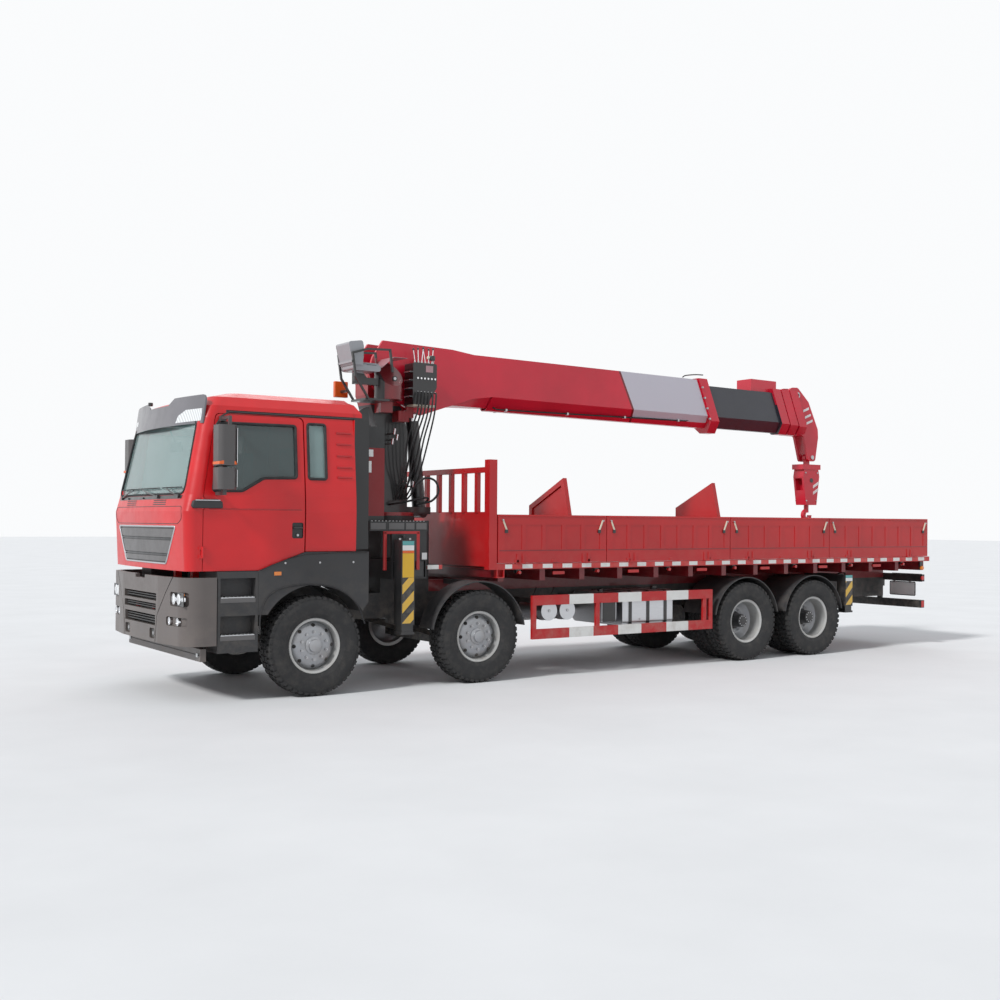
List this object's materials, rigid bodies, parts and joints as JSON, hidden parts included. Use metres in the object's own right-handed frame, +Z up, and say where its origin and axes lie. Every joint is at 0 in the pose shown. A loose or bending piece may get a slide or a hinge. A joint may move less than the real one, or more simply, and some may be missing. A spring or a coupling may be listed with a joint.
{
  "type": "truck mounted mobile crane",
  "caption": "Truck with a tilting cab, drop-side bed, four outrigger legs and a slewing telescopic crane laid back over the bed.",
  "frame": {"origin": "on the ground under the middle of the vehicle's length, at its centre line", "axes": "+X forward to the cab, +Y to the vehicle's left, +Z up"},
  "size_m": [12, 3.18, 4.0844],
  "materials": {
    "frame_black": "satin",
    "running_black": "matt",
    "trim_dark": "satin",
    "tank_grey": "satin",
    "bed_red": "gloss",
    "cab_red": "gloss",
    "glass": "clear",
    "interior": "matt",
    "rubber": "matt",
    "rim_silver": "satin",
    "leg_black": "satin",
    "boom_crimson": "gloss",
    "boom_grey": "satin",
    "cylinder_dark": "satin",
    "rod_chrome": "polished"
  },
  "bodies": {
    "chassis": {"chassis_frame": "frame_black", "axles": "running_black", "leaf_springs": "running_black", "engine_block": "running_black", "bumper": "trim_dark", "mudguards": "trim_dark", "side_equipment": "tank_grey", "underrun_guards": "frame_black", "bed_floor": "bed_red", "headboard": "bed_red", "stop_plates": "bed_red", "crane_base": "frame_black", "rear_outrigger_box": "frame_black"},
    "cab": {"cab_shell": "cab_red", "cab_glass": "glass", "cab_interior": "interior", "sun_visor": "trim_dark"},
    "door_left": {"door_left": "cab_red", "door_glass_left": "glass", "mirror_left": "trim_dark"},
    "door_right": {"door_right": "cab_red", "door_glass_right": "glass", "mirror_right": "trim_dark"},
    "steer_one_left": {"knuckle_one_left": "running_black"},
    "wheel_one_left": {"tyre_one_left": "rubber", "rim_one_left": "rim_silver"},
    "steer_one_right": {"knuckle_one_right": "running_black"},
    "wheel_one_right": {"tyre_one_right": "rubber", "rim_one_right": "rim_silver"},
    "steer_two_left": {"knuckle_two_left": "running_black"},
    "wheel_two_left": {"tyre_two_left": "rubber", "rim_two_left": "rim_silver"},
    "steer_two_right": {"knuckle_two_right": "running_black"},
    "wheel_two_right": {"tyre_two_right": "rubber", "rim_two_right": "rim_silver"},
    "wheel_three_left": {"tyres_three_left": "rubber", "rims_three_left": "rim_silver"},
    "wheel_three_right": {"tyres_three_right": "rubber", "rims_three_right": "rim_silver"},
    "wheel_four_left": {"tyres_four_left": "rubber", "rims_four_left": "rim_silver"},
    "wheel_four_right": {"tyres_four_right": "rubber", "rims_four_right": "rim_silver"},
    "sides_left": {"drop_sides_left": "bed_red"},
    "sides_right": {"drop_sides_right": "bed_red"},
    "tailgate": {"tailgate": "bed_red"},
    "beam_left": {"outrigger_beam_left": "leg_black"},
    "leg_left": {"outrigger_leg_left": "leg_black"},
    "rear_leg_left": {"rear_leg_left": "leg_black"},
    "beam_right": {"outrigger_beam_right": "leg_black"},
    "leg_right": {"outrigger_leg_right": "leg_black"},
    "rear_leg_right": {"rear_leg_right": "leg_black"},
    "column": {"slewing_column": "boom_crimson"},
    "boom": {"boom_base": "boom_crimson"},
    "stage_two": {"boom_stage_two": "boom_grey"},
    "stage_three": {"boom_stage_three": "boom_grey"},
    "tip": {"boom_tip": "boom_crimson"},
    "hook": {"hook_block": "boom_crimson"},
    "barrel": {"lift_barrel": "cylinder_dark"},
    "rod": {"lift_rod": "rod_chrome"}
  },
  "joints": [
    {"name": "cab_tilt", "type": "hinge", "parent": "chassis", "child": "cab", "pos_m": [5.89, 0, 0.95], "axis": [0, 1, 0], "range_deg": [0, 55]},
    {"name": "door_left_swing", "type": "hinge", "parent": "cab", "child": "door_left", "pos_m": [5.75, 1.23, 1.8], "axis": [0, 0, -1], "range_deg": [0, 70]},
    {"name": "door_right_swing", "type": "hinge", "parent": "cab", "child": "door_right", "pos_m": [5.75, -1.23, 1.8], "axis": [0, 0, 1], "range_deg": [0, 70]},
    {"name": "steer_one_left", "type": "hinge", "parent": "chassis", "child": "steer_one_left", "pos_m": [4.49, 0.905, 0.542], "axis": [0, 0, 1], "range_deg": [-35, 35]},
    {"name": "roll_one_left", "type": "hinge", "parent": "steer_one_left", "child": "wheel_one_left", "pos_m": [4.49, 1.1, 0.542], "axis": [0, 1, 0], "continuous": true},
    {"name": "steer_one_right", "type": "hinge", "parent": "chassis", "child": "steer_one_right", "pos_m": [4.49, -0.905, 0.542], "axis": [0, 0, 1], "range_deg": [-35, 35]},
    {"name": "roll_one_right", "type": "hinge", "parent": "steer_one_right", "child": "wheel_one_right", "pos_m": [4.49, -1.1, 0.542], "axis": [0, 1, 0], "continuous": true},
    {"name": "steer_two_left", "type": "hinge", "parent": "chassis", "child": "steer_two_left", "pos_m": [2.39, 0.905, 0.542], "axis": [0, 0, 1], "range_deg": [-25, 25]},
    {"name": "roll_two_left", "type": "hinge", "parent": "steer_two_left", "child": "wheel_two_left", "pos_m": [2.39, 1.1, 0.542], "axis": [0, 1, 0], "continuous": true},
    {"name": "steer_two_right", "type": "hinge", "parent": "chassis", "child": "steer_two_right", "pos_m": [2.39, -0.905, 0.542], "axis": [0, 0, 1], "range_deg": [-25, 25]},
    {"name": "roll_two_right", "type": "hinge", "parent": "steer_two_right", "child": "wheel_two_right", "pos_m": [2.39, -1.1, 0.542], "axis": [0, 1, 0], "continuous": true},
    {"name": "roll_three_left", "type": "hinge", "parent": "chassis", "child": "wheel_three_left", "pos_m": [-2.01, 1.1, 0.542], "axis": [0, 1, 0], "continuous": true},
    {"name": "roll_three_right", "type": "hinge", "parent": "chassis", "child": "wheel_three_right", "pos_m": [-2.01, -1.1, 0.542], "axis": [0, 1, 0], "continuous": true},
    {"name": "roll_four_left", "type": "hinge", "parent": "chassis", "child": "wheel_four_left", "pos_m": [-3.36, 1.1, 0.542], "axis": [0, 1, 0], "continuous": true},
    {"name": "roll_four_right", "type": "hinge", "parent": "chassis", "child": "wheel_four_right", "pos_m": [-3.36, -1.1, 0.542], "axis": [0, 1, 0], "continuous": true},
    {"name": "sides_left_drop", "type": "hinge", "parent": "chassis", "child": "sides_left", "pos_m": [0, 1.268, 1.398], "axis": [-1, 0, 0], "range_deg": [0, 180]},
    {"name": "sides_right_drop", "type": "hinge", "parent": "chassis", "child": "sides_right", "pos_m": [0, -1.268, 1.398], "axis": [-1, 0, 0], "range_deg": [-180, 0]},
    {"name": "tailgate_drop", "type": "hinge", "parent": "chassis", "child": "tailgate", "pos_m": [-5.992, 0, 1.398], "axis": [0, -1, 0], "range_deg": [0, 180]},
    {"name": "beam_left_slide", "type": "slide", "parent": "chassis", "child": "beam_left", "axis": [0, 1, 0], "range_m": [0, 1.7]},
    {"name": "leg_left_slide", "type": "slide", "parent": "beam_left", "child": "leg_left", "axis": [0, 0, -1], "range_m": [0, 0.6]},
    {"name": "rear_leg_left_slide", "type": "slide", "parent": "chassis", "child": "rear_leg_left", "axis": [0, 0, -1], "range_m": [0, 0.57]},
    {"name": "beam_right_slide", "type": "slide", "parent": "chassis", "child": "beam_right", "axis": [0, -1, 0], "range_m": [0, 1.7]},
    {"name": "leg_right_slide", "type": "slide", "parent": "beam_right", "child": "leg_right", "axis": [0, 0, -1], "range_m": [0, 0.6]},
    {"name": "rear_leg_right_slide", "type": "slide", "parent": "chassis", "child": "rear_leg_right", "axis": [0, 0, -1], "range_m": [0, 0.57]},
    {"name": "slew", "type": "hinge", "parent": "chassis", "child": "column", "pos_m": [2.96, 0, 1.96], "axis": [0, 0, 1], "range_deg": [-180, 180]},
    {"name": "luff", "type": "hinge", "parent": "column", "child": "boom", "pos_m": [3.21, 0, 3.62], "axis": [0, 1, 0], "range_deg": [0, 75]},
    {"name": "telescope", "type": "slide", "parent": "boom", "child": "stage_two", "axis": [-1, 0, -0.0087], "range_m": [0, 3]},
    {"name": "stage_three_slide", "type": "slide", "parent": "stage_two", "child": "stage_three", "axis": [-1, 0, -0.0087], "range_m": [0, 3]},
    {"name": "tip_slide", "type": "slide", "parent": "stage_three", "child": "tip", "axis": [-1, 0, -0.0087], "range_m": [0, 3]},
    {"name": "hook_hang", "type": "hinge", "parent": "tip", "child": "hook", "pos_m": [-4.5544, 0, 2.9422], "axis": [0, 1, 0], "range_deg": [-75, 0]},
    {"name": "barrel_swing", "type": "hinge", "parent": "column", "child": "barrel", "pos_m": [2.51, 0, 2], "axis": [0, 1, 0], "range_deg": [0, 0.34]},
    {"name": "rod_slide", "type": "slide", "parent": "barrel", "child": "rod", "axis": [0.101, 0, 0.9949], "range_m": [0, 0.809]}
  ],
  "couplings": [
    {"joint": "steer_one_right", "follows": "steer_one_left", "ratio": 1},
    {"joint": "steer_two_left", "follows": "steer_one_left", "ratio": 0.7},
    {"joint": "steer_two_right", "follows": "steer_one_left", "ratio": 0.7},
    {"joint": "stage_three_slide", "follows": "telescope", "ratio": 1},
    {"joint": "tip_slide", "follows": "telescope", "ratio": 1},
    {"joint": "hook_hang", "follows": "luff", "ratio": -1},
    {"joint": "barrel_swing", "follows": "luff", "ratio": 0.004467},
    {"joint": "rod_slide", "follows": "luff", "m_per_rad": 0.61734}
  ]
}
